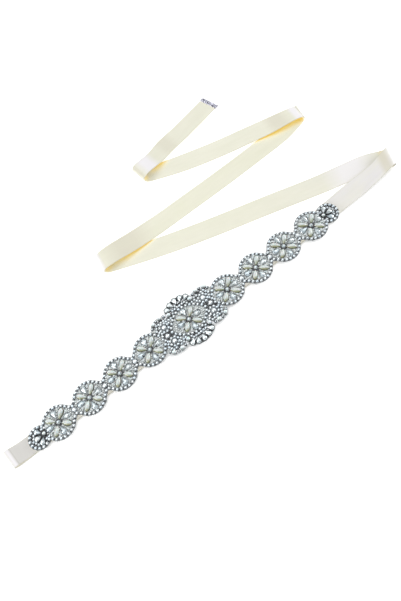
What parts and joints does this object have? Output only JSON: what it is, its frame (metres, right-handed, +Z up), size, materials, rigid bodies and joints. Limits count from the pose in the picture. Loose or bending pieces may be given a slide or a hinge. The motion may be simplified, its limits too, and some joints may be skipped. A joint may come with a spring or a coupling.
{
  "type": "bridal sash",
  "caption": "Ivory satin ribbon sash with a raised pearl and crystal flower applique along its waist, laid flat with its long tail turned back and forth in soft bends.",
  "frame": {"origin": "on the table beneath the middle of the applique, on the ribbon's flat underside", "axes": "+X along the applique towards the loose tail, +Y away from the viewer across the sash, +Z up from the table"},
  "size_m": [0.5528, 0.2677, 0.012],
  "materials": {
    "satin": "ivory double-face satin, smooth sheen",
    "satin_under": "the same satin, folded flat in layers",
    "felt": "off-white felt backing, matt",
    "pearl": "cream pearl, soft lustre",
    "crystal": "faceted clear crystal on silver foil",
    "stone_edging": "row of small set stones in silver cups",
    "glitter": "silver glitter band"
  },
  "bodies": {
    "root": {"applique_felt": "felt", "crown_lower": "crystal", "crown_upper": "crystal", "edging_centre": "stone_edging", "edging_left": "stone_edging", "edging_right": "stone_edging", "fan_left": "crystal", "fan_right": "crystal", "flower_centre": "pearl", "flower_left_1": "pearl", "flower_left_2": "pearl", "flower_left_3": "pearl", "flower_left_4": "pearl", "flower_right_1": "pearl", "flower_right_2": "pearl", "flower_right_3": "pearl", "flower_right_4": "pearl", "lobe_rim_lower_left": "pearl", "lobe_rim_lower_right": "pearl", "lobe_rim_upper_left": "pearl", "lobe_rim_upper_right": "pearl", "neck_stone_left_1": "crystal", "neck_stone_left_2": "crystal", "neck_stone_left_3": "crystal", "neck_stone_left_4": "crystal", "neck_stone_right_1": "crystal", "neck_stone_right_2": "crystal", "neck_stone_right_3": "crystal", "neck_stone_right_4": "crystal", "ribbon_bend_1": "satin", "ribbon_bend_2": "satin", "ribbon_bend_3": "satin", "ribbon_bend_4": "satin", "ribbon_end_turn": "satin", "ribbon_folded_tail": "satin_under", "ribbon_glitter_tip": "glitter", "ribbon_run_2": "satin", "ribbon_run_3": "satin", "ribbon_run_4": "satin", "ribbon_run_5": "satin", "ribbon_waist": "satin", "rosette_lower_left": "crystal", "rosette_lower_right": "crystal", "rosette_upper_left": "crystal", "rosette_upper_right": "crystal"}
  },
  "joints": []
}
